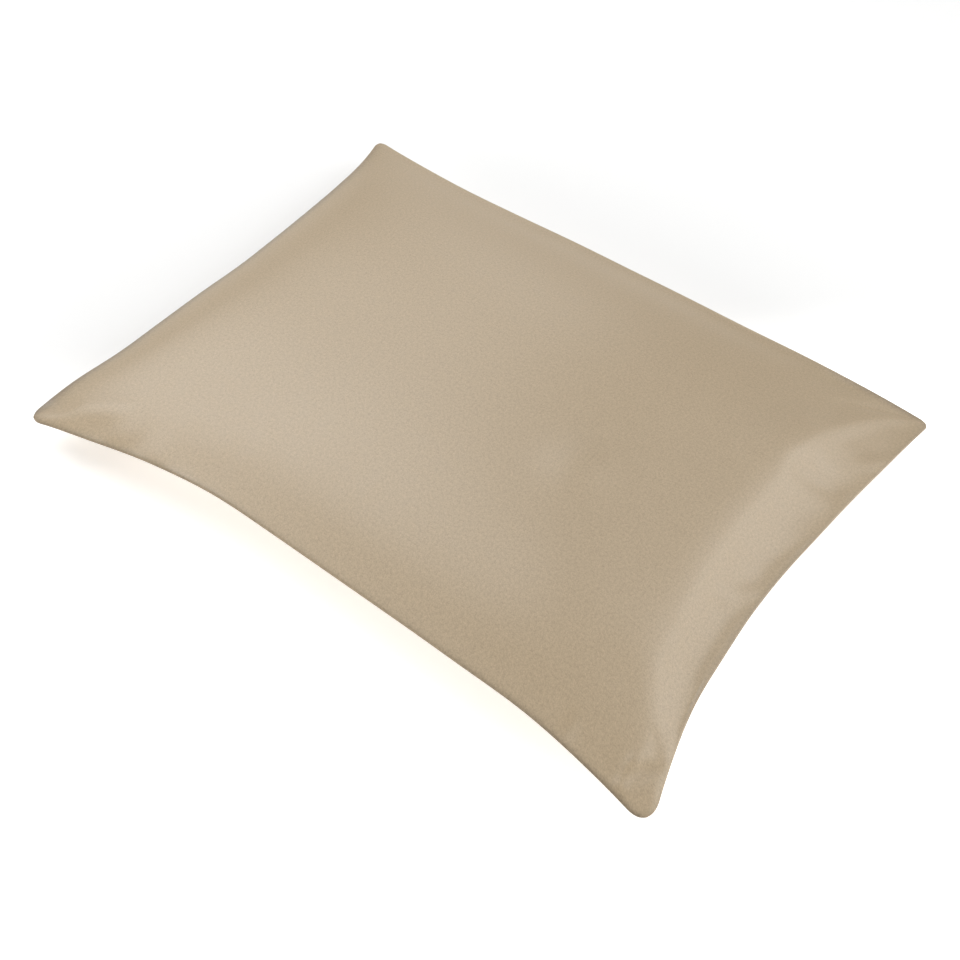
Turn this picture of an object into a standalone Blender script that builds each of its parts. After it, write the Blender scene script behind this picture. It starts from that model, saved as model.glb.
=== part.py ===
"""A filled satin pillowcase lying on its back: one closed, crowned form.

Two panels meet in a turned seam that runs right round.  The filling lifts the
top panel into a crown, presses the back panel flat on the surface below, and
draws the four sides in between the corners.  At the right end the case is
longer than its filling: the crown turns down at a shoulder and the cloth lies
nearly flat in a lip along the seam.  x runs along the long sides, y across,
z up; the origin is the middle of the resting face.
"""
import math
from collections import namedtuple

import bmesh
import bpy
import numpy as np
from mathutils import Vector

# Driving dimensions, in metres.
LENGTH = 0.655          # corner to corner along x, before the corners are rounded
WIDTH = 0.5235          # corner to corner along y
CROWN = 0.046           # the middle of the top panel above the seam
BELLY = 0.072           # the middle of the back panel below the seam, if nothing pressed on it
RESTING_BLEND = 0.002   # height over which the back panel turns flat on the surface
SEAM_EASE = 0.035       # how soon the panels part at the seam; 0 parts them at once
BACK_FULLNESS = 3.4
BACK_ROUNDNESS = 0.95
RELIEF_FADE = 0.0045    # how far inside the seam the relief of the top panel begins
SEAM_BULK = 0.0014      # the turned cloth that keeps the two panels apart even in the corners

# The mesh: cells along and across each panel, closer together towards the seam and
# towards the right end, where the relief is finest.
CELLS_ALONG = 60
CELLS_ACROSS = 48
EDGE_CROWDING = 0.72
END_CROWDING = 0.12

# One row for each side of the case.
#   drawn_in   how far the middle of the side is pulled in by the filling
#   flatness   2 draws an even curve, more keeps the middle of the side straighter
#   lean       moves the deepest place towards the side's positive end
#   rise       how far the middle of the seam stands above its two corners
#   rise_flat  the same as flatness, for the rise
#   fullness   how far out the crown stays high before it falls to this side
#   roundness  less than 1 falls late and steeply, like a rounder edge
Side = namedtuple("Side", "drawn_in flatness lean rise rise_flat fullness roundness")
NEAR_SIDE = Side(0.026, 2.9, -0.35, 0.024, 3.3, 3.3, 0.89)
FAR_SIDE = Side(0.023, 3.4, -0.45, 0.019, 3.6, 3.5, 1.19)
LEFT_END = Side(0.023, 2.4, 0.45, 0.014, 3.4, 4.8, 0.57)
RIGHT_END = Side(0.027, 2.3, -0.70, 0.026, 3.2, 2.3, 0.50)

# How far each side strays outwards from its even curve; at runs along it from -1 to 1.
Stray = namedtuple("Stray", "at near far left right")
EDGE_LINE = (
    Stray(-1.0, -0.0030, 0.0010, 0.0005, 0.0005),
    Stray(-0.8, 0.0030, 0.0020, 0.0010, 0.0015),
    Stray(-0.6, 0.0010, 0.0020, -0.0025, 0.0010),
    Stray(-0.4, -0.0015, 0.0035, -0.0015, 0.0020),
    Stray(-0.2, 0.0000, 0.0050, -0.0005, 0.0005),
    Stray(0.0, 0.0010, 0.0045, -0.0015, 0.0000),
    Stray(0.2, 0.0015, 0.0040, -0.0005, 0.0010),
    Stray(0.4, 0.0010, 0.0025, 0.0000, 0.0010),
    Stray(0.6, -0.0015, 0.0025, -0.0005, 0.0010),
    Stray(0.8, -0.0005, 0.0015, -0.0010, 0.0005),
    Stray(1.0, 0.0015, 0.0000, 0.0010, 0.0005),
)

# One row for each corner: which way it lies, the height of its tip, its rounding.
Corner = namedtuple("Corner", "x_sign y_sign height radius")
CORNERS = (
    Corner(-1, -1, 0.028, 0.016),
    Corner(-1, +1, 0.027, 0.014),
    Corner(+1, +1, 0.030, 0.011),
    Corner(+1, -1, 0.026, 0.025),
)

# The right end, section by section; across runs from -1 at the near corner to 1 at the far one.
#   shoulder  how far in from the seam the crest of the shoulder lies
#   lift      how far the crest stands above the crown's own curve
#   lip       width of the nearly flat strip along the seam
#   softness  how softly the lip turns up into the shoulder
Section = namedtuple("Section", "across shoulder lift lip softness")
END_SECTIONS = (
    Section(-1.00, 0.014, 0.0045, 0.001, 0.30),
    Section(-0.76, 0.018, 0.0020, 0.002, 0.30),
    Section(-0.64, 0.042, 0.0035, 0.010, 0.20),
    Section(-0.46, 0.050, 0.0040, 0.018, 0.30),
    Section(-0.22, 0.055, 0.0055, 0.019, 0.30),
    Section(0.02, 0.061, 0.0055, 0.021, 0.35),
    Section(0.20, 0.061, 0.0070, 0.031, 0.25),
    Section(0.42, 0.067, 0.0085, 0.024, 0.65),
    Section(0.62, 0.065, 0.0090, 0.042, 0.35),
    Section(0.80, 0.048, 0.0060, 0.045, 0.55),
    Section(0.92, 0.027, 0.0050, 0.025, 0.10),
    Section(1.00, 0.010, 0.0050, 0.001, 0.45),
)
SHOULDER_INNER_WIDTH = 0.045  # how far the shoulder fades out towards the crown
SHOULDER_OUTER_SHARE = 0.30   # and towards the seam, as a share of its inset
LIP_SLOPE = 0.19              # how much the lip itself rises
LIP_REACH = 0.6               # share of the half length over which the lip is taken up
LIP_SETTLING = 0.05           # how far inside the seam its width begins to count

# One row for each pucker of the top panel, placed on the panel laid flat.
#   x0 y0 .. x1 y1   the line of the pucker
#   width            half the distance over which it fades out sideways
#   height           above the panel for a ridge, below it for a trough
Pucker = namedtuple("Pucker", "name x0 y0 x1 y1 width height")
PUCKERS = (
    Pucker("far_hollow", 0.310, 0.162, 0.297, 0.161, 0.0135, 0.0012),
    Pucker("far_dip", 0.326, 0.172, 0.319, 0.158, 0.0110, 0.0006),
    Pucker("end_two", 0.303, 0.108, 0.282, 0.101, 0.0160, -0.0038),
    Pucker("end_three", 0.329, 0.047, 0.304, -0.008, 0.0110, -0.0014),
    Pucker("end_tongue", 0.316, -0.038, 0.305, -0.060, 0.0090, 0.0026),
    Pucker("end_four", 0.311, -0.014, 0.311, -0.138, 0.0155, -0.0021),
    Pucker("end_five", 0.328, -0.142, 0.329, -0.168, 0.0065, -0.0032),
    Pucker("cuff_line", 0.290, -0.175, 0.307, -0.192, 0.0060, -0.0004),
    Pucker("ear_crease", 0.311, -0.207, 0.314, -0.213, 0.0075, -0.0016),
    Pucker("ear_ridge", 0.299, -0.228, 0.291, -0.254, 0.0060, 0.0033),
    Pucker("ear_hollow", 0.320, -0.219, 0.294, -0.247, 0.0060, -0.0035),
    Pucker("ear_rim", 0.321, -0.210, 0.325, -0.256, 0.0060, 0.0013),
    Pucker("far_ear_upper", 0.265, 0.281, 0.204, 0.214, 0.0150, -0.0008),
    Pucker("far_ear_lower", 0.307, 0.270, 0.257, 0.219, 0.0085, -0.0005),
    Pucker("left_hollow", -0.310, -0.247, -0.255, -0.232, 0.0165, 0.0057),
    Pucker("left_pleat", -0.233, -0.246, -0.231, -0.243, 0.0150, 0.0023),
    Pucker("left_tuck", -0.163, -0.267, -0.200, -0.252, 0.0200, 0.0017),
    Pucker("left_tip", -0.329, -0.243, -0.305, -0.243, 0.0090, -0.0045),
    Pucker("near_tuck_right", 0.236, -0.255, 0.239, -0.242, 0.0060, -0.0012),
)

# Slow unevenness of the filling under the top panel.
Lump = namedtuple("Lump", "name x y radius height")
LUMPS = (
    Lump("left", -0.200, -0.165, 0.075, -0.0050),
    Lump("middle", 0.125, -0.050, 0.030, 0.0040),
    Lump("near", 0.190, -0.165, 0.060, 0.0035),
    Lump("far_left", -0.195, -0.065, 0.095, -0.0040),
    Lump("far", -0.015, 0.055, 0.125, 0.0045),
    Lump("right", 0.190, 0.140, 0.125, -0.0040),
    Lump("far_corner", 0.260, 0.195, 0.040, -0.0035),
)

# The satin's colour (linear RGB), roughness and metallic value.
SATIN_COLOUR = (0.426, 0.330, 0.215, 1.0)
SATIN_ROUGHNESS = 0.49
SATIN_METALLIC = 0.0


def bow(t, depth, flatness, lean):
    """Depth of a bowed line at t, which runs from -1 to 1 between its fixed ends."""
    return depth * (1 - abs(t) ** flatness) * (1 + lean * t)


def along_rows(rows, column, t):
    """Follow one column of a table smoothly; its first column is the place along it."""
    places = [row[0] for row in rows]
    values = [getattr(row, column) for row in rows]
    slopes = np.gradient(values, places)
    k = min(max(int(np.searchsorted(places, t)) - 1, 0), len(rows) - 2)
    gap = places[k + 1] - places[k]
    f = min(max((t - places[k]) / gap, 0.0), 1.0)
    g = 1 - f
    between = values[k] * (1 + 2 * f) * g * g + values[k + 1] * (3 - 2 * f) * f * f
    return between + gap * f * g * (slopes[k] * g - slopes[k + 1] * f)


def clear_scene():
    """Remove every object, so that the model starts from nothing."""
    for thing in list(bpy.data.objects):
        bpy.data.objects.remove(thing, do_unlink=True)


def spread(t):
    """Move an even station, -1 to 1, outwards so that cells crowd towards the seam."""
    return EDGE_CROWDING * math.sin(t * math.pi / 2) + (1 - EDGE_CROWDING) * t


def round_corners(x, y):
    """Pull the flat panel's four square corners in to arcs."""
    for corner in CORNERS:
        along = (corner.x_sign * x - (LENGTH / 2 - corner.radius)) / corner.radius
        across = (corner.y_sign * y - (WIDTH / 2 - corner.radius)) / corner.radius
        if along > 0 and across > 0:
            arc_along = along * math.sqrt(1 - across ** 2 / 2)
            arc_across = across * math.sqrt(1 - along ** 2 / 2)
            x = corner.x_sign * (LENGTH / 2 - corner.radius + arc_along * corner.radius)
            y = corner.y_sign * (WIDTH / 2 - corner.radius + arc_across * corner.radius)
    return x, y


def seam_height(u, v):
    """Height of the surface through the seam: low at the corners, higher between them."""
    corners = sum(
        corner.height * (1 + corner.x_sign * u) * (1 + corner.y_sign * v) / 4
        for corner in CORNERS
    )
    along = (
        bow(u, NEAR_SIDE.rise, NEAR_SIDE.rise_flat, 0) * (1 - v) / 2
        + bow(u, FAR_SIDE.rise, FAR_SIDE.rise_flat, 0) * (1 + v) / 2
    )
    across = (
        bow(v, LEFT_END.rise, LEFT_END.rise_flat, 0) * (1 - u) / 2
        + bow(v, RIGHT_END.rise, RIGHT_END.rise_flat, 0) * (1 + u) / 2
    )
    mean_rise = (NEAR_SIDE.rise + FAR_SIDE.rise + LEFT_END.rise + RIGHT_END.rise) / 4
    return corners + along + across - mean_rise * (1 - u ** 4) * (1 - v ** 4)


def inset(side, column, t):
    """How far in from its straight line a side lies at t."""
    even_curve = bow(t, side.drawn_in, side.flatness, side.lean)
    return even_curve - along_rows(EDGE_LINE, column, t)


def draw_in(x, y, u, v):
    """Pull the four sides of the flat panel in between their corners."""
    left = inset(LEFT_END, "left", v) * (1 - u) / 2
    right = inset(RIGHT_END, "right", v) * (1 + u) / 2
    near = inset(NEAR_SIDE, "near", u) * (1 - v) / 2
    far = inset(FAR_SIDE, "far", u) * (1 + v) / 2
    return x + left - right, y + near - far


def round_off(t, fullness, roundness):
    """A profile from 1 in the middle to 0 on the seam, which it meets at an angle."""
    full = max(0.0, 1 - abs(t) ** fullness)
    start = SEAM_EASE ** roundness
    return ((full + SEAM_EASE) ** roundness - start) / ((1 + SEAM_EASE) ** roundness - start)


def ramp(distance, softness):
    """The distance past 0, and nothing before it, with a soft start."""
    return softness * float(np.logaddexp(0.0, distance / softness))


def past_lip(u, v):
    """How far along the filled shape a place is, with the right end's lip taken out."""
    if u <= 0:
        return u
    lip = max(along_rows(END_SECTIONS, "lip", v), 0.0005)
    softness = max(along_rows(END_SECTIONS, "softness", v), 0.03) * lip
    inward = LENGTH / 2 * (1 - u)
    rising = ramp(inward - lip, softness) - ramp(-lip, softness)
    near = min(u / LIP_REACH, 1.0)
    settled = lip * (1 - near * near * (3 - 2 * near))
    beyond = rising + settled * (1 - math.exp(-inward / LIP_SETTLING))
    filled = LIP_SLOPE * inward + (1 - LIP_SLOPE) * beyond
    return 1 - filled / (LENGTH / 2)


def shoulder(x, y):
    """Height of the soft ridge that runs along the right end and out into its corners."""
    across = min(max(y / (WIDTH / 2), -1.0), 1.0)
    inward = LENGTH / 2 - x
    crest = max(along_rows(END_SECTIONS, "shoulder", across), 0.004)
    width = SHOULDER_INNER_WIDTH if inward > crest else SHOULDER_OUTER_SHARE * crest
    lift = along_rows(END_SECTIONS, "lift", across) * (1 - across ** 4)
    return lift * math.exp(-((inward - crest) / width) ** 2)


def pucker(row, x, y):
    """Height that one pucker adds: deepest at its middle, fading sideways and to its ends."""
    run_x = row.x1 - row.x0
    run_y = row.y1 - row.y0
    length = math.hypot(run_x, run_y)
    along = ((x - row.x0) * run_x + (y - row.y0) * run_y) / length
    aside = ((x - row.x0) * run_y - (y - row.y0) * run_x) / length
    past_middle = (along - length / 2) / (length / 2 + row.width)
    return row.height * math.exp(-(aside / row.width) ** 2 - past_middle ** 4)


def lump(row, x, y):
    """Height that one lump of the filling adds."""
    return row.height * math.exp(-((x - row.x) ** 2 + (y - row.y) ** 2) / row.radius ** 2)


def relief(x, y):
    """Everything that stands on the crown's own curve."""
    puckers = sum(pucker(row, x, y) for row in PUCKERS)
    lumps = sum(lump(row, x, y) for row in LUMPS)
    return shoulder(x, y) + puckers + lumps


def clear_of_seam(u, v):
    """0 on the seam, 1 from a finger's width inside it."""
    inside = min((1 - abs(u)) * LENGTH, (1 - abs(v)) * WIDTH) / 2
    return 1 - math.exp(-(inside / RELIEF_FADE) ** 1.5)


def rest_on_surface(height):
    """Turn a height that would sink below the surface flat onto it, with a soft start."""
    if height > RESTING_BLEND:
        return height
    if height < -RESTING_BLEND:
        return 0.0
    return (height + RESTING_BLEND) ** 2 / (4 * RESTING_BLEND)


def top_height(u, v, flat_x, flat_y):
    """How far the top panel stands above the seam."""
    end = RIGHT_END if u > 0 else LEFT_END
    side = FAR_SIDE if v > 0 else NEAR_SIDE
    along = round_off(past_lip(u, v), end.fullness, end.roundness)
    across = round_off(v, side.fullness, side.roundness)
    return CROWN * along * across + relief(flat_x, flat_y) * clear_of_seam(u, v)


def back_depth(u, v):
    """How far the back panel would hang below the seam, if nothing pressed on it."""
    along = round_off(u, BACK_FULLNESS, BACK_ROUNDNESS)
    return BELLY * along * round_off(v, BACK_FULLNESS, BACK_ROUNDNESS)


def panel_point(u, v, is_top):
    """A point of the top or back panel; u and v run from -1 to 1 over the flat panel."""
    flat_x, flat_y = round_corners(u * LENGTH / 2, v * WIDTH / 2)
    round_u = flat_x / (LENGTH / 2)
    round_v = flat_y / (WIDTH / 2)
    x, y = draw_in(flat_x, flat_y, round_u, round_v)
    seam = seam_height(round_u, round_v)
    back = rest_on_surface(seam - back_depth(u, v))
    if is_top:
        filling = max(0.0, seam + top_height(u, v, flat_x, flat_y) - back)
        return x, y, back + math.hypot(filling, SEAM_BULK * clear_of_seam(u, v))
    return x, y, back


def add_panel(mesh, is_top):
    """Add one panel as a grid whose points are moved onto the filled form."""
    grid = bmesh.ops.create_grid(mesh, x_segments=CELLS_ALONG, y_segments=CELLS_ACROSS, size=1.0)
    for point in grid["verts"]:
        along = point.co.x + END_CROWDING * (1 - point.co.x ** 2)
        point.co = panel_point(spread(along), spread(point.co.y), is_top)
    if not is_top:
        faces = {face for point in grid["verts"] for face in point.link_faces}
        bmesh.ops.reverse_faces(mesh, faces=list(faces))


def centre_over_origin(mesh):
    """Slide the form sideways so that the middle of its box stands over the origin."""
    xs = [point.co.x for point in mesh.verts]
    ys = [point.co.y for point in mesh.verts]
    middle = Vector(((min(xs) + max(xs)) / 2, (min(ys) + max(ys)) / 2, 0.0))
    bmesh.ops.translate(mesh, verts=mesh.verts, vec=-middle)


def satin():
    """The satin of both panels."""
    material = bpy.data.materials.new("satin")
    material.use_nodes = True
    shader = material.node_tree.nodes["Principled BSDF"]
    shader.inputs["Base Color"].default_value = SATIN_COLOUR
    shader.inputs["Roughness"].default_value = SATIN_ROUGHNESS
    shader.inputs["Metallic"].default_value = SATIN_METALLIC
    material.diffuse_color = SATIN_COLOUR
    return material


def filled_pillowcase(collection):
    """Sew the two panels together along the seam and add the result to the scene."""
    mesh = bmesh.new()
    add_panel(mesh, is_top=True)
    add_panel(mesh, is_top=False)
    seam = [point for point in mesh.verts if point.is_boundary]
    bmesh.ops.remove_doubles(mesh, verts=seam, dist=0.00001)
    centre_over_origin(mesh)
    data = bpy.data.meshes.new("pillowcase")
    mesh.to_mesh(data)
    mesh.free()
    data.shade_smooth()
    data.materials.append(satin())
    case = bpy.data.objects.new("pillowcase", data)
    collection.objects.link(case)
    return case


def main():
    clear_scene()
    collection = bpy.data.collections.new("filled_pillowcase")
    bpy.context.scene.collection.children.link(collection)
    filled_pillowcase(collection)


main()
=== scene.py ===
import math

import bmesh
import bpy
import numpy as np
from mathutils import Matrix, Vector
from mathutils.kdtree import KDTree


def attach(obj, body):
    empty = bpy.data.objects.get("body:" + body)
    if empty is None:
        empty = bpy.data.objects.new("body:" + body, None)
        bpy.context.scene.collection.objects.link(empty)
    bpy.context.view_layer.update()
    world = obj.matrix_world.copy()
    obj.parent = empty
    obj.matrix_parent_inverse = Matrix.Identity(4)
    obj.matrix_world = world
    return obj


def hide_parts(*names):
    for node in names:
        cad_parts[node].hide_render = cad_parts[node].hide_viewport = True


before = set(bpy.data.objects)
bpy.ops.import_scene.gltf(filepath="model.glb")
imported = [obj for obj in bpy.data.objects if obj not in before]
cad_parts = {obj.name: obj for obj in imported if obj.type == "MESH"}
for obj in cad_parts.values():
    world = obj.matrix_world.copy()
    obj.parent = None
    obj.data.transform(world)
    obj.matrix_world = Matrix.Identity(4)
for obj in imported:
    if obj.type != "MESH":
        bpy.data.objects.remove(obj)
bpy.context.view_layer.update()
print("frame: loaded", sorted(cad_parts))

for spare in [thing for thing in bpy.data.objects if thing.type in ("LIGHT", "CAMERA")]:
    bpy.data.objects.remove(spare, do_unlink=True)


# the filled form, in metres: x along the long sides, y across, z up, resting on z = 0

form = {
    "length": 0.655,             # corner to corner, before the corners are rounded
    "width": 0.5235,
    "crown": 0.046,             # middle of the top panel above the seam
    "belly": 0.0720,             # middle of the back panel below the seam, unpressed
    "restingBlend": 0.002,       # height over which the back panel turns flat
    "seamEase": 0.035,           # how soon the panels part at the seam
    "seamBulk": 0.0014,          # turned cloth that keeps the panels apart in the corners
    "fadeWide": 0.0045, "fadeSharpness": 1.5,       # puckers and lumps die out along the seam
    "backFullness": 3.4,
    "backRoundness": 0.95,
    # drawnIn, flatness, lean, rise, riseFlatness, fullness, roundness
    "near": (0.026, 2.9, -0.35, 0.024, 3.3, 3.3, 0.89),
    "far": (0.023, 3.4, -0.45, 0.019, 3.6, 3.5, 1.19),
    "left": (0.023, 2.4, 0.45, 0.014, 3.4, 4.8, 0.57),
    "right": (0.027, 2.3, -0.70, 0.026, 3.2, 2.3, 0.50),
    # xSign, ySign, tip height, corner radius
    "corners": ((-1, -1, 0.028, 0.016), (-1, 1, 0.027, 0.014),
                (1, 1, 0.030, 0.011), (1, -1, 0.026, 0.025)),
}

# how far each edge strays outwards from its even curve: place along the edge from -1 to 1,
# near, far, left, right
edgeLine = (
    (-1.0, -0.0030, 0.0010, 0.0005, 0.0005),
    (-0.8, 0.0030, 0.0020, 0.0010, 0.0015),
    (-0.6, 0.0010, 0.0020, -0.0025, 0.0010),
    (-0.4, -0.0015, 0.0035, -0.0015, 0.0020),
    (-0.2, 0.0000, 0.0050, -0.0005, 0.0005),
    (0.0, 0.0010, 0.0045, -0.0015, 0.0000),
    (0.2, 0.0015, 0.0040, -0.0005, 0.0010),
    (0.4, 0.0010, 0.0025, 0.0000, 0.0010),
    (0.6, -0.0015, 0.0025, -0.0005, 0.0010),
    (0.8, -0.0005, 0.0015, -0.0010, 0.0005),
    (1.0, 0.0015, 0.0000, 0.0010, 0.0005),
)

# the right end, where the case is longer than its filling: the crown turns down at a
# shoulder, and the cloth lies nearly flat in a lip along the seam
endForm = {
    # across (-1 near, 1 far), shoulder in from the seam, its lift, width of the lip
    "sections": ((-1.00, 0.014, 0.0045, 0.001, 0.30), (-0.76, 0.018, 0.0020, 0.002, 0.30),
                 (-0.64, 0.042, 0.0035, 0.010, 0.20), (-0.46, 0.050, 0.0040, 0.018, 0.30),
                 (-0.22, 0.055, 0.0055, 0.019, 0.30), (0.02, 0.061, 0.0055, 0.021, 0.35),
                 (0.20, 0.061, 0.0070, 0.031, 0.25), (0.42, 0.067, 0.0085, 0.024, 0.65),
                 (0.62, 0.065, 0.0090, 0.042, 0.35), (0.80, 0.048, 0.0060, 0.045, 0.55),
                 (0.92, 0.027, 0.0050, 0.025, 0.10), (1.00, 0.010, 0.0050, 0.001, 0.45)),
    "innerWidth": 0.045, "outerShare": 0.30, "lipSlope": 0.19,
    "fillReach": 0.05,           # how soon the panel is full again behind the lip
    "startsAt": 0.6,             # share of the half length over which the lip sets in
    "leastLip": 0.0005, "leastSoftness": 0.03, "leastCrest": 0.004,
}

# puckers of the top panel: x0, y0, x1, y1 on it flat, half width, height
puckers = {
    "farHollow": (0.302, 0.161, 0.299, 0.162, 0.0140, 0.0011),
    "farDip": (0.320, 0.168, 0.318, 0.158, 0.0100, 0.0018),
    "endTwo": (0.303, 0.108, 0.282, 0.101, 0.0160, -0.0038),
    "endThree": (0.329, 0.047, 0.304, -0.008, 0.0110, -0.0014),
    "endTongue": (0.316, -0.038, 0.305, -0.060, 0.0090, 0.0026),
    "endFour": (0.311, -0.014, 0.311, -0.138, 0.0155, -0.0021),
    "endFive": (0.328, -0.142, 0.329, -0.168, 0.0065, -0.0032),
    "cuffLine": (0.290, -0.175, 0.307, -0.192, 0.0060, -0.0004),
    "earCrease": (0.310, -0.206, 0.312, -0.212, 0.0060, -0.0013),
    "earRidge": (0.300, -0.230, 0.287, -0.266, 0.0052, 0.0034),
    "earHollow": (0.322, -0.217, 0.292, -0.249, 0.0048, -0.0033),
    "earRim": (0.323, -0.200, 0.323, -0.280, 0.0060, 0.0018),
    "farEarUpper": (0.287, 0.291, 0.213, 0.228, 0.0136, -0.0014),
    "farEarLower": (0.308, 0.270, 0.250, 0.214, 0.0078, -0.0010),
    "leftHollow": (-0.325, -0.263, -0.254, -0.229, 0.0150, 0.0026),
    "leftPleat": (-0.234, -0.249, -0.232, -0.248, 0.0143, 0.0014),
    "leftTuck": (-0.188, -0.266, -0.201, -0.245, 0.0130, 0.0019),
    "leftTip": (-0.327, -0.240, -0.306, -0.241, 0.0100, -0.0030),
    "nearTuckRight": (0.236, -0.255, 0.239, -0.242, 0.0060, -0.0012),
    "leftFold": (-0.224, -0.220, -0.211, -0.237, 0.0160, -0.0015),
    "leftSwell": (-0.286, -0.232, -0.231, -0.236, 0.0240, 0.0026),
    "farCrease": (0.272, 0.231, 0.312, 0.257, 0.0038, -0.0016),
}

# slow unevenness of the filling under the top panel: x, y, radius, height
lumps = {
    "left": (-0.200, -0.165, 0.075, -0.0050),
    "middle": (0.125, -0.050, 0.030, 0.0040),
    "near": (0.190, -0.165, 0.060, 0.0035),
    "farLeft": (-0.195, -0.065, 0.095, -0.0040),
    "far": (-0.015, 0.055, 0.125, 0.0045),
    "right": (0.190, 0.140, 0.125, -0.0040),
    "farCorner": (0.260, 0.195, 0.040, -0.0035),
}

meshLook = {
    "seamSteps": (0.0005, 0.0010, 0.0016, 0.0024, 0.0034, 0.0048, 0.0066, 0.0088, 0.0115, 0.0148),
    "cell": 0.0037,              # away from the seam
    "backMapShift": 0.60,        # keeps the two panels apart on the cloth map
}

seamLook = {
    "bead": 0.00045, "beadAt": 0.0014,              # turned edge that stands up beside the stitches
    "allowance": 0.00012, "allowanceWide": 0.010,   # layers that lie inside, behind the seam
    "allowanceFade": 0.004,
    "flatAt": 0.0008,                               # gathers and allowance start this far in
    "gather": 0.00007, "endGather": 0.00012, "gatherReach": 0.005,
    "waves": ((0.0131, 0.4), (0.0187, 2.1), (0.0083, 4.4), (0.0412, 1.3)),   # period, phase
    "farStart": 0.31, "rightStart": 0.17,           # so that opposite edges gather differently
    "cornerBlend": 0.004,
    "shadeFall": 1.5,
    # painted shade: the base colour is darkened along the seam to stand in for the shading of the
    # edge where it turns down
    # how far the painted shade reaches in from the seam: near, far, left, right
    "shadeReach": (0.0027, 0.0050, 0.0082, 0.0029),
    # how much darker the painted shade makes the cloth right at the seam: place along the edge,
    # near, far, left, right
    "shade": ((-1.0, 0.40, 0.00, 0.52, 0.18), (-0.8, 0.42, 0.00, 0.52, 0.04),
              (-0.5, 0.38, 0.00, 0.60, 0.12), (0.0, 0.26, 0.02, 0.60, 0.20),
              (0.5, 0.38, 0.02, 0.62, 0.02), (0.85, 0.54, 0.40, 0.30, 0.12),
              (1.0, 0.62, 0.50, 0.22, 0.22)),
}


def bow(t, depth, flatness, lean=0.0):
    return depth * (1 - np.abs(t) ** flatness) * (1 + lean * t)


# a smooth line through the rows of a table: first column against the given one
def alongRows(rows, column, t):
    xs = np.array([row[0] for row in rows])
    ys = np.array([row[column] for row in rows])
    slopes = np.gradient(ys, xs)
    k = np.clip(np.searchsorted(xs, t) - 1, 0, len(xs) - 2)
    gap = xs[k + 1] - xs[k]
    f = np.clip((t - xs[k]) / gap, 0, 1)
    g = 1 - f
    return (ys[k] * (1 + 2 * f) * g * g + ys[k + 1] * (3 - 2 * f) * f * f
            + gap * (slopes[k] * f * g * g - slopes[k + 1] * f * f * g))


def roundCorners(x, y):
    for xSign, ySign, height, radius in form["corners"]:
        along = (xSign * x - (form["length"] / 2 - radius)) / radius
        across = (ySign * y - (form["width"] / 2 - radius)) / radius
        inside = (along > 0) & (across > 0)
        arcAlong = along * np.sqrt(np.clip(1 - across ** 2 / 2, 0, 1))
        arcAcross = across * np.sqrt(np.clip(1 - along ** 2 / 2, 0, 1))
        x = np.where(inside, xSign * (form["length"] / 2 - radius + arcAlong * radius), x)
        y = np.where(inside, ySign * (form["width"] / 2 - radius + arcAcross * radius), y)
    return x, y


def seamHeight(u, v):
    height = sum(tip * (1 + xSign * u) * (1 + ySign * v) / 4
                 for xSign, ySign, tip, radius in form["corners"])
    for side, t, weight in (("near", u, (1 - v) / 2), ("far", u, (1 + v) / 2),
                            ("left", v, (1 - u) / 2), ("right", v, (1 + u) / 2)):
        height = height + bow(t, form[side][3], form[side][4]) * weight
    meanRise = sum(form[side][3] for side in ("near", "far", "left", "right")) / 4
    return height - meanRise * (1 - u ** 4) * (1 - v ** 4)


def drawIn(x, y, u, v):
    left, right = (bow(v, *form[side][:3]) - alongRows(edgeLine, column, v)
                   for side, column in (("left", 3), ("right", 4)))
    near, far = (bow(u, *form[side][:3]) - alongRows(edgeLine, column, u)
                 for side, column in (("near", 1), ("far", 2)))
    return (x + left * (1 - u) / 2 - right * (1 + u) / 2,
            y + near * (1 - v) / 2 - far * (1 + v) / 2)


# a round profile from 1 in the middle to 0 on the seam, which it meets at an angle
def roundOff(t, fullness, roundness):
    ease = form["seamEase"]
    full = np.clip(1 - np.abs(t) ** fullness, 0, 1)
    least, most = ease ** roundness, (1 + ease) ** roundness
    return ((full + ease) ** roundness - least) / (most - least)


def swell(u, v, fullness, roundness):
    return roundOff(u, fullness[0], roundness[0]) * roundOff(v, fullness[1], roundness[1])


# how far along the filled shape a place is, with the right end's lip taken out
def pastLip(u, v):
    lip = np.maximum(alongRows(endForm["sections"], 3, v), endForm["leastLip"])
    soft = np.maximum(alongRows(endForm["sections"], 4, v), endForm["leastSoftness"]) * lip
    flat = endForm["lipSlope"]
    inward = form["length"] / 2 * (1 - u)
    rising = soft * (np.logaddexp(0, (inward - lip) / soft) - np.logaddexp(0, -lip / soft))
    near = np.clip(u / endForm["startsAt"], 0, 1)
    settled = lip * (1 - near * near * (3 - 2 * near))
    filled = (flat * inward
              + (1 - flat) * (rising + settled * (1 - np.exp(-inward / endForm["fillReach"]))))
    return np.where(u > 0, 1 - filled / (form["length"] / 2), u)


# the shoulder's crest, as a height
def endRelief(x, y):
    across = np.clip(y / (form["width"] / 2), -1, 1)
    inward = form["length"] / 2 - x
    crest = np.maximum(alongRows(endForm["sections"], 1, across), endForm["leastCrest"])
    width = np.where(inward > crest, endForm["innerWidth"], endForm["outerShare"] * crest)
    lift = alongRows(endForm["sections"], 2, across) * (1 - across ** 4)
    return lift * np.exp(-((inward - crest) / width) ** 2)


def pucker(row, x, y):
    x0, y0, x1, y1, width, height = row
    length = math.hypot(x1 - x0, y1 - y0)
    along = ((x - x0) * (x1 - x0) + (y - y0) * (y1 - y0)) / length
    aside = ((x - x0) * (y1 - y0) - (y - y0) * (x1 - x0)) / length
    pastMiddle = (along - length / 2) / (length / 2 + width)
    return height * np.exp(-(aside / width) ** 2 - pastMiddle ** 4)


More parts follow.
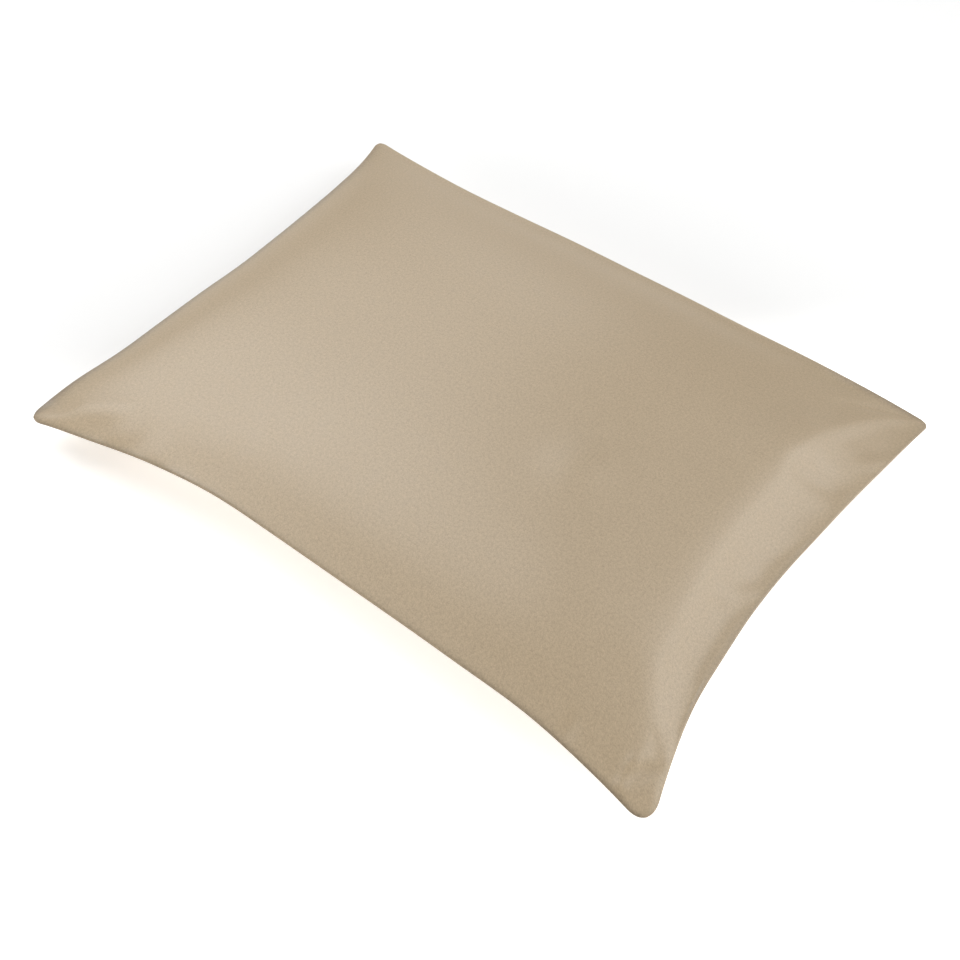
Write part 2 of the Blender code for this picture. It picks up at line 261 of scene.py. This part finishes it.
def lump(row, x, y):
    return row[3] * np.exp(-((x - row[0]) ** 2 + (y - row[1]) ** 2) / row[2] ** 2)


# 0 on the seam, 1 from a finger's width inside it
def edgeFade(u, v):
    inside = np.minimum((1 - np.abs(u)) * form["length"], (1 - np.abs(v)) * form["width"]) / 2
    return 1 - np.exp(-(inside / form["fadeWide"]) ** form["fadeSharpness"])


def restOnSurface(height):
    blend = form["restingBlend"]
    soft = (height + blend) ** 2 / (4 * blend)
    return np.where(height > blend, height, np.where(height < -blend, 0.0, soft))


# points of one panel, and where they lie on it flat; u and v run from -1 to 1
def panelForm(u, v, isTop):
    flatX, flatY = roundCorners(u * form["length"] / 2, v * form["width"] / 2)
    roundU = flatX / (form["length"] / 2)
    roundV = flatY / (form["width"] / 2)
    x, y = drawIn(flatX, flatY, roundU, roundV)
    seam = seamHeight(roundU, roundV)
    fullness, roundness = (form["backFullness"],) * 2, (form["backRoundness"],) * 2
    back = restOnSurface(seam - form["belly"] * swell(u, v, fullness, roundness))
    if isTop:
        fullness = (np.where(u > 0, form["right"][5], form["left"][5]),
                    np.where(v > 0, form["far"][5], form["near"][5]))
        roundness = (np.where(u > 0, form["right"][6], form["left"][6]),
                     np.where(v > 0, form["far"][6], form["near"][6]))
        rise = swell(pastLip(u, v), v, fullness, roundness)
        relief = (endRelief(flatX, flatY)
                  + sum(pucker(row, flatX, flatY) for row in puckers.values())
                  + sum(lump(row, flatX, flatY) for row in lumps.values()))
        z = seam + form["crown"] * rise + relief * edgeFade(u, v)
        z = back + np.hypot(np.maximum(z - back, 0), form["seamBulk"] * edgeFade(u, v))
    else:
        z = back
    return np.stack((x, y, z), -1), np.stack((flatX, flatY), -1)


# stations across one direction of a panel, crowded towards both seams
def stations(size):
    edge = [0.0, *meshLook["seamSteps"]]
    middle = size - 2 * edge[-1]
    cells = 2 * round(middle / meshLook["cell"] / 2)
    inner = [edge[-1] + middle * k / cells for k in range(1, cells)]
    full = edge + inner + [size - s for s in reversed(edge)]
    return np.array(full) / (size / 2) - 1


# distance to the seam on the flat panel, and how much nearer a side is than an end
def toSeam(u, v):
    fromEnds = (1 - np.abs(u)) * form["length"] / 2
    fromSides = (1 - np.abs(v)) * form["width"] / 2
    return np.minimum(fromEnds, fromSides), fromEnds - fromSides


# weights of the near, far, left and right edge at a place; they add up to 1
def edgeShares(u, v):
    _, lean = toSeam(u, v)
    endShare = 1 / (1 + np.exp(np.clip(lean / seamLook["cornerBlend"], -30, 30)))
    sideShare = 1 - endShare
    return sideShare * (v < 0), sideShare * (v >= 0), endShare * (u < 0), endShare * (u >= 0)


# painted shade at a place: how much the base colour is darkened near the seam, where the edge turns
# away from the light
def paintedSeamShade(u, v):
    distance, _ = toSeam(u, v)
    shares = edgeShares(u, v)
    depth = sum(share * alongRows(seamLook["shade"], column, place)
                for share, column, place in zip(shares, (1, 2, 3, 4), (u, u, v, v)))
    reach = sum(share * size for share, size in zip(shares, seamLook["shadeReach"]))
    return depth * np.exp(-(distance / reach) ** seamLook["shadeFall"])


# small folds where the stitching takes up the cloth, as a height
def gathers(u, v, flatX, flatY):
    distance, _ = toSeam(u, v)
    near, far, left, right = edgeShares(u, v)
    sideRun = flatX + seamLook["farStart"] * far
    endRun = flatY + seamLook["rightStart"] * right
    wave = 0
    for period, phase in seamLook["waves"]:
        wave = wave + ((near + far) * np.sin(2 * math.pi * sideRun / period + phase)
                       + (left + right) * np.sin(2 * math.pi * endRun / period + phase)) / 4
    size = seamLook["gather"] + (seamLook["endGather"] - seamLook["gather"]) * right
    return size * wave * np.exp(-distance / seamLook["gatherReach"])


# turned edge, allowance and gathers, as a height
def seamRelief(u, v, flatX, flatY):
    distance, _ = toSeam(u, v)
    fromBead = distance / seamLook["beadAt"]
    bead = seamLook["bead"] * fromBead * np.exp(1 - fromBead)
    pastAllowance = (distance - seamLook["allowanceWide"]) / seamLook["allowanceFade"]
    inside = np.clip(pastAllowance, -0.5, 0.5) + 0.5
    allowance = seamLook["allowance"] * (1 - inside * inside * (3 - 2 * inside))
    openCloth = 1 - np.exp(-(distance / seamLook["flatAt"]) ** 2)
    return bead + (allowance + gathers(u, v, flatX, flatY)) * openCloth


def outward(points, isTop):
    along, across = np.gradient(points, axis=0), np.gradient(points, axis=1)
    normal = np.cross(along, across)
    normal /= np.maximum(np.linalg.norm(normal, axis=-1, keepdims=True), 1e-12)
    return normal if isTop else -normal


# one panel of the case: its points, its map and the painted shade beside its seam
def sewnPanel(u, v, isTop, change):
    points, flat = panelForm(u, v, isTop)
    points = points + change
    relief = seamRelief(u, v, flat[..., 0], flat[..., 1])
    points = points + relief[..., None] * outward(points, isTop)
    points[..., 2] = np.maximum(points[..., 2], 0)
    return points, flat, paintedSeamShade(u, v)


def addPanel(work, points, flat, shade, isTop):
    clothMap, shadeLayer = work.loops.layers.uv["weave"], work.verts.layers.float["paintedSeamShade"]
    last = points.shape[0] - 1, points.shape[1] - 1
    grid = bmesh.ops.create_grid(work, x_segments=last[0], y_segments=last[1], size=1.0)
    shift = 0 if isTop else meshLook["backMapShift"]
    for vert in grid["verts"]:
        i, j = round((vert.co.x + 1) / 2 * last[0]), round((vert.co.y + 1) / 2 * last[1])
        for loop in vert.link_loops:
            loop[clothMap].uv = (flat[i, j, 0] + shift, flat[i, j, 1])
        # painted shade beside the seam, kept on each point for the satin's base colour
        vert[shadeLayer] = shade[i, j]
        vert.co = points[i, j]
    if not isTop:
        faces = {face for vert in grid["verts"] for face in vert.link_faces}
        bmesh.ops.reverse_faces(work, faces=list(faces))


def sewPanels(name, panels):
    work = bmesh.new()
    work.loops.layers.uv.new("weave")
    work.verts.layers.float.new("paintedSeamShade")
    for panel in panels:
        addPanel(work, *panel)
    seamVerts = [vert for vert in work.verts if vert.is_boundary]
    bmesh.ops.remove_doubles(work, verts=seamVerts, dist=0.00001)
    data = bpy.data.meshes.new(name)
    work.to_mesh(data)
    work.free()
    data.shade_smooth()
    return data


fillLook = {
    "cell": 0.0055,              # mesh of the cloth while it fills
    "slack": 0.0010,             # it starts this far inside its form
    "pressure": 4.0,
    "steps": 20,
    "farthest": 0.0014,          # how far a point may move
    "seamHold": 0.020,           # the sewn edge keeps its line over this width
    "quality": 6,
    "smoothings": 4,
}


def evenStations(size):
    return np.linspace(-1, 1, round(size / fillLook["cell"]) + 1)


# a smaller case is blown up as cloth; gives how the finished form differs from the drawn one
def fillCloth(u, v):
    hold = np.clip(toSeam(u, v)[0] / fillLook["seamHold"], 0, 1)[..., None]
    drawn = [panelForm(u, v, isTop)[0] for isTop in (True, False)]
    starts = []
    for points, isTop in zip(drawn, (True, False)):
        start = points - fillLook["slack"] * hold * outward(points, isTop)
        start[..., 2] = np.maximum(start[..., 2], 0)
        starts.append(start)
    blank = np.zeros(u.shape)
    shell = sewPanels("fillCloth", [(start, start, blank, isTop)
                                    for start, isTop in zip(starts, (True, False))])
    cloth = bpy.data.objects.new("fillCloth", shell)
    bpy.context.scene.collection.objects.link(cloth)
    rest = np.empty(len(shell.vertices) * 3)
    shell.vertices.foreach_get("co", rest)
    filling = cloth.modifiers.new("filling", "CLOTH")
    filling.settings.quality = fillLook["quality"]
    filling.settings.use_pressure = True
    filling.settings.uniform_pressure_force = fillLook["pressure"]
    filling.settings.effector_weights.gravity = 0
    for step in range(1, fillLook["steps"] + 1):
        bpy.context.scene.frame_set(step)
    filled = cloth.evaluated_get(bpy.context.evaluated_depsgraph_get())
    ended = np.empty(len(rest))
    filled.data.vertices.foreach_get("co", ended)
    moves = (ended - rest).reshape(-1, 3)
    lengths = np.maximum(np.linalg.norm(moves, axis=1), 1e-9)
    moves *= np.minimum(1, fillLook["farthest"] / lengths)[:, None]
    tree = KDTree(len(moves))
    for number, place in enumerate(rest.reshape(-1, 3)):
        tree.insert(place, number)
    tree.balance()
    bpy.context.scene.frame_set(1)
    bpy.data.objects.remove(cloth, do_unlink=True)
    bpy.data.meshes.remove(shell)
    changes = []
    for points, start in zip(drawn, starts):
        found = [tree.find(place)[1] for place in start.reshape(-1, 3)]
        change = start - points + hold * moves[found].reshape(points.shape)
        for smoothing in range(fillLook["smoothings"]):
            change[1:-1, 1:-1] = (change[1:-1, 1:-1] * 2 + change[:-2, 1:-1] + change[2:, 1:-1]
                                  + change[1:-1, :-2] + change[1:-1, 2:]) / 6
        changes.append(change)
    return changes


def betweenStations(values, fromPlaces, places, axis):
    k = np.clip(np.searchsorted(fromPlaces, places) - 1, 0, len(fromPlaces) - 2)
    share = (places - fromPlaces[k]) / (fromPlaces[k + 1] - fromPlaces[k])
    share = share.reshape([-1 if n == axis else 1 for n in range(3)])
    return np.take(values, k, axis) * (1 - share) + np.take(values, k + 1, axis) * share


def fillChanges():
    evenU, evenV = evenStations(form["length"]), evenStations(form["width"])
    changes = fillCloth(*np.meshgrid(evenU, evenV, indexing="ij"))
    return [betweenStations(betweenStations(change, evenU, stationsU, 0), evenV, stationsV, 1)
            for change in changes]


stationsU = stations(form["length"])
stationsV = stations(form["width"])
uGrid, vGrid = np.meshgrid(stationsU, stationsV, indexing="ij")
panels = [(*sewnPanel(uGrid, vGrid, isTop, change), isTop)
          for isTop, change in zip((True, False), fillChanges())]
print("case: cloth filled")
boxMiddle = (panels[0][0][..., :2].min((0, 1)) + panels[0][0][..., :2].max((0, 1))) / 2
for panel in panels:
    panel[0][..., :2] -= boxMiddle
caseMesh = sewPanels("filledCase", panels)
case = bpy.data.objects.new("filledCase", caseMesh)
bpy.context.scene.collection.objects.link(case)
print("case:", len(caseMesh.polygons), "faces")


class Wire:                                  # one socket, so that shader maths reads as plain sums

    def __init__(self, tree, socket):
        self.tree = tree
        self.socket = socket

    def put(self, kind, settings, inputs, output=0):
        node = self.tree.nodes.new(kind)
        for key, value in settings.items():
            setattr(node, key, value)
        for key, value in inputs.items():
            if isinstance(value, Wire):
                self.tree.links.new(value.socket, node.inputs[key])
            else:
                node.inputs[key].default_value = value
        return None if output is None else Wire(self.tree, node.outputs[output])

    def math(self, operation, first, second=0.0):
        return self.put("ShaderNodeMath", {"operation": operation}, {0: first, 1: second})

    def __add__(self, other):
        return self.math("ADD", self, other)

    __radd__ = __add__

    def __sub__(self, other):
        return self.math("SUBTRACT", self, other)

    def __rsub__(self, other):
        return self.math("SUBTRACT", other, self)

    def __mul__(self, other):
        return self.math("MULTIPLY", self, other)

    __rmul__ = __mul__


satinLook = {
    "tone": (0.426, 0.330, 0.215, 1),
    "roughness": 0.49,
    "specular": 1.0,
    "grainSize": 0.0011, "grain": 0.50, "grainDulls": 0.05,
    "fleckSize": 0.0026, "fleck": 0.31,
    "cloudSize": 0.014, "cloud": 0.06, "cloudDulls": 0.10,
    "floatWide": 0.0004, "floatLong": 0.009, "floatDepth": 0.00001,
}


def newFinish(name):
    finish = bpy.data.materials.new(name)
    finish.use_nodes = True
    tree = finish.node_tree
    return finish, tree.nodes["Principled BSDF"], Wire(tree, None)


def satinFinish():
    finish, shader, wire = newFinish("satin")
    look = satinLook
    cloth = wire.put("ShaderNodeUVMap", {"uv_map": "weave"}, {}, "UV")

    def noise(sizeX, sizeY, detail, place=0.0):
        stretched = wire.put("ShaderNodeMapping", {},
                             {"Vector": cloth, "Location": (place, place, 0),
                              "Scale": (1 / sizeX, 1 / sizeY, 1)})
        return wire.put("ShaderNodeTexNoise", {"noise_dimensions": "2D"},
                        {"Vector": stretched, "Scale": 1.0, "Detail": detail,
                         "Roughness": 0.6}, "Fac")

    grain = noise(look["grainSize"], look["grainSize"], 1.5) - 0.5
    flecks = noise(look["fleckSize"], look["fleckSize"], 1.0, 1.9) - 0.5
    cloud = noise(look["cloudSize"], look["cloudSize"], 2.0, 3.7) - 0.5
    floats = noise(look["floatLong"], look["floatWide"], 1.0, 8.2)
    # painted shade beside the seam darkens the base colour, together with the random grain, flecks
    # and cloud
    paintedSeamShadeFac = wire.put("ShaderNodeAttribute", {"attribute_name": "paintedSeamShade"}, {}, "Fac")
    depth = paintedSeamShadeFac - look["grain"] * grain - look["fleck"] * flecks - look["cloud"] * cloud
    tone = wire.put("ShaderNodeMix", {"data_type": "RGBA", "clamp_factor": False},
                    {0: depth, 6: look["tone"], 7: (0.0, 0.0, 0.0, 1)}, 2)
    wire.tree.links.new(tone.socket, shader.inputs["Base Color"])
    rough = look["roughness"] + look["cloudDulls"] * cloud + look["grainDulls"] * grain
    wire.tree.links.new(rough.socket, shader.inputs["Roughness"])
    bump = wire.put("ShaderNodeBump", {},
                    {"Strength": 1.0, "Distance": look["floatDepth"], "Height": floats})
    wire.tree.links.new(bump.socket, shader.inputs["Normal"])
    shader.inputs["Specular IOR Level"].default_value = look["specular"]
    return finish


caseMesh.materials.append(satinFinish())
print("case: satin finish")


stitchLook = {
    "pitch": 0.0029, "length": 0.0022, "thickness": 0.00036,
    "unevenness": 0.12, "seed": 11,
    "segments": 6, "rings": 4,   # of one stitch
    "sunk": 0.00012,             # into the seam
    # the darker second colour is painted shade in the grooves between the twisted plies of the
    # thread
    "tone": (0.385, 0.295, 0.190, 1), "plyGrooveShade": (0.20, 0.15, 0.09, 1),
    "between": 0.25,             # how much of that shows between the plies
    "roughness": 0.62,
    "twist": 0.0005, "twistWarp": 1.5,
}


def threadFinish():
    finish, shader, wire = newFinish("seamThread")
    place = wire.put("ShaderNodeTexCoord", {}, {}, "Object")
    # bands of painted shade between the plies
    plies = wire.put("ShaderNodeTexWave", {"wave_type": "BANDS", "bands_direction": "DIAGONAL"},
                     {"Vector": place, "Scale": 0.3 / stitchLook["twist"],
                      "Distortion": stitchLook["twistWarp"]}, "Fac")
    tone = wire.put("ShaderNodeMix", {"data_type": "RGBA"},
                    {0: plies * stitchLook["between"], 6: stitchLook["tone"],
                     7: stitchLook["plyGrooveShade"]}, 2)
    wire.tree.links.new(tone.socket, shader.inputs["Base Color"])
    shader.inputs["Roughness"].default_value = stitchLook["roughness"]
    return finish


# a row of stitches along a closed line
def stitchTree(finish):
    tree = bpy.data.node_groups.new("stitchRow", "GeometryNodeTree")
    tree.interface.new_socket("Seam Line", in_out="INPUT", socket_type="NodeSocketGeometry")
    for name in ("Pitch", "Stitch Length", "Thread Thickness", "Unevenness"):
        tree.interface.new_socket(name, in_out="INPUT", socket_type="NodeSocketFloat")
    tree.interface.new_socket("Seed", in_out="INPUT", socket_type="NodeSocketInt")
    tree.interface.new_socket("Stitches", in_out="OUTPUT", socket_type="NodeSocketGeometry")
    given = Wire(tree, None).put("NodeGroupInput", {}, {})

    def sizeOf(name):
        return Wire(tree, given.socket.node.outputs[name])

    line = given.put("GeometryNodeMeshToCurve", {}, {"Mesh": sizeOf("Seam Line")})
    holes = given.put("GeometryNodeResampleCurve", {"mode": "LENGTH"},
                      {"Curve": line, "Length": sizeOf("Pitch")})
    bead = given.put("GeometryNodeMeshUVSphere", {},
                     {"Segments": stitchLook["segments"], "Rings": stitchLook["rings"],
                      "Radius": 0.5})
    along = given.put("GeometryNodeInputTangent", {}, {})
    turn = given.put("FunctionNodeAlignRotationToVector", {"axis": "X"}, {"Vector": along})
    share = given.put("FunctionNodeRandomValue", {"data_type": "FLOAT"},
                      {2: 1 - sizeOf("Unevenness"), 3: 1 + sizeOf("Unevenness"),
                       "Seed": sizeOf("Seed")}, 1)
    size = given.put("ShaderNodeCombineXYZ", {}, {"X": share * sizeOf("Stitch Length"),
                                                  "Y": sizeOf("Thread Thickness"),
                                                  "Z": sizeOf("Thread Thickness")})
    row = given.put("GeometryNodeInstanceOnPoints", {}, {"Points": holes, "Instance": bead,
                                                         "Rotation": turn, "Scale": size})
    real = given.put("GeometryNodeRealizeInstances", {}, {"Geometry": row})
    smooth = given.put("GeometryNodeSetShadeSmooth", {}, {"Geometry": real})
    done = given.put("GeometryNodeSetMaterial", {}, {"Geometry": smooth, "Material": finish})
    given.put("NodeGroupOutput", {}, {"Stitches": done}, None)
    return tree


def stitchRow(name, line, finish):
    work = bmesh.new()
    verts = [work.verts.new(place) for place in line]
    for here, there in zip(verts, verts[1:] + verts[:1]):
        work.edges.new((here, there))
    data = bpy.data.meshes.new(name)
    work.to_mesh(data)
    work.free()
    guide = bpy.data.objects.new(name + "Guide", data)
    bpy.context.scene.collection.objects.link(guide)
    sewing = guide.modifiers.new("sewing", "NODES")
    sewing.node_group = stitchTree(finish)
    sizes = {"Pitch": stitchLook["pitch"], "Stitch Length": stitchLook["length"],
             "Thread Thickness": stitchLook["thickness"], "Unevenness": stitchLook["unevenness"],
             "Seed": stitchLook["seed"]}
    for item in sewing.node_group.interface.items_tree:
        if item.name in sizes:
            sewing[item.identifier] = sizes[item.name]
    graph = bpy.context.evaluated_depsgraph_get()
    sewn = bpy.data.meshes.new_from_object(guide.evaluated_get(graph), depsgraph=graph)
    sewn.name = name
    bpy.data.objects.remove(guide, do_unlink=True)
    row = bpy.data.objects.new(name, sewn)
    bpy.context.scene.collection.objects.link(row)
    return row


topPoints = panels[0][0]
seamLine = np.concatenate((topPoints[:-1, 0], topPoints[-1, :-1],
                           topPoints[:0:-1, -1], topPoints[0, :0:-1]))
ahead = np.roll(seamLine, -2, 0) - np.roll(seamLine, 2, 0)
inward = np.stack((-ahead[:, 1], ahead[:, 0], np.zeros(len(ahead))), -1)
inward /= np.linalg.norm(inward, axis=1)[:, None]
stitches = stitchRow("seamStitches", seamLine + stitchLook["sunk"] * inward, threadFinish())
print("stitches:", len(stitches.data.polygons), "faces")

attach(stitches, "root")

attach(case, "root")
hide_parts("pillowcase")


studio = {
    "cameraPlace": (0.4361, -0.7988, 1.0504),
    "cameraTurn": 0.5032,        # radians, about the upright axis
    "cameraTip": 0.6891,         # up from looking straight down
    "cameraRoll": 0.1328,
    "lens": 55.71,
    "sensor": 36.0,
    "floorSize": 8.0,
    "floorDrop": 0.0002,         # keeps it clear of the resting face
    "floorColour": (0.96, 0.96, 0.955, 1), "floorRoughness": 0.9,
    "shadowLiftGlow": 0.50,           # painted light: the floor glows on its near right side only, where the case casts its shadows, to lift them; it also lights the case from below
    "glowTowards": (0.707, -0.707, 0),
    "glowFrom": -0.17, "glowTo": 0.02,
    "skyColour": (1.0, 1.0, 1.0, 1),
    "skyStrength": 0.0,
}

lightTable = {
    # azimuth from +x, elevation (degrees), distance, size, watts
    "key": (175, 53, 2.0, 2.15, 34.1),
    "endLight": (36, 35, 2.0, 2.19, 27.0),
    "nearRightFill": (326, 12, 2.0, 0.71, 16.8),
    "nearFill": (243, 12, 2.0, 0.70, 14.6),
    "farFill": (116, 29, 2.0, 0.99, 5.2),
}


def addCamera():
    lens = bpy.data.cameras.new("camera")
    lens.lens = studio["lens"]
    lens.sensor_width = studio["sensor"]
    camera = bpy.data.objects.new("camera", lens)
    place = Vector(studio["cameraPlace"]) - Vector((*boxMiddle, 0.0))
    camera.matrix_world = (Matrix.Translation(place)
                           @ Matrix.Rotation(studio["cameraTurn"], 4, "Z")
                           @ Matrix.Rotation(studio["cameraTip"], 4, "X")
                           @ Matrix.Rotation(studio["cameraRoll"], 4, "Z"))
    bpy.context.scene.collection.objects.link(camera)
    bpy.context.scene.camera = camera


def addLights():
    for name, (azimuth, elevation, distance, size, watts) in lightTable.items():
        turn, tip = math.radians(azimuth), math.radians(elevation)
        place = distance * Vector((math.cos(tip) * math.cos(turn),
                                   math.cos(tip) * math.sin(turn), math.sin(tip)))
        lamp = bpy.data.lights.new(name, "AREA")
        lamp.shape = "DISK"
        lamp.size = size
        lamp.energy = watts
        light = bpy.data.objects.new(name, lamp)
        light.location = place
        light.visible_glossy = not name.startswith("near")    # these only lift the shade
        light.rotation_euler = (-place).to_track_quat("-Z", "Y").to_euler()
        bpy.context.scene.collection.objects.link(light)


def addFloor():
    work = bmesh.new()
    bmesh.ops.create_grid(work, x_segments=1, y_segments=1, size=studio["floorSize"] / 2)
    data = bpy.data.meshes.new("stageFloor")
    work.to_mesh(data)
    work.free()
    floor = bpy.data.objects.new("stageFloor", data)
    floor.location.z = -studio["floorDrop"]
    paint, shader, wire = newFinish("stagePaint")
    shader.inputs["Base Color"].default_value = studio["floorColour"]
    shader.inputs["Roughness"].default_value = studio["floorRoughness"]
    place = wire.put("ShaderNodeTexCoord", {}, {}, "Object")
    towards = wire.put("ShaderNodeVectorMath", {"operation": "DOT_PRODUCT"},
                       {0: place, 1: studio["glowTowards"]}, "Value")
    share = wire.put("ShaderNodeMapRange", {"interpolation_type": "SMOOTHSTEP"},
                     {"Value": towards, "From Min": studio["glowFrom"],
                      "From Max": studio["glowTo"]})
    # painted light: the glow fades in towards the near right side, where the case's shadows fall
    glow = wire.put("ShaderNodeMix", {"data_type": "RGBA"},
                    {0: share, 6: (0, 0, 0, 1), 7: (1, 1, 1, 1)}, 2)
    wire.tree.links.new(glow.socket, shader.inputs["Emission Color"])
    shader.inputs["Emission Strength"].default_value = studio["shadowLiftGlow"]
    data.materials.append(paint)
    bpy.context.scene.collection.objects.link(floor)


def addSky():
    world = bpy.data.worlds.new("sky")
    world.use_nodes = True
    background = world.node_tree.nodes["Background"]
    background.inputs["Color"].default_value = studio["skyColour"]
    background.inputs["Strength"].default_value = studio["skyStrength"]
    bpy.context.scene.world = world


addCamera()
addLights()
addFloor()
addSky()
bpy.context.scene.view_settings.view_transform = "Standard"
print("studio: camera, lights and floor")
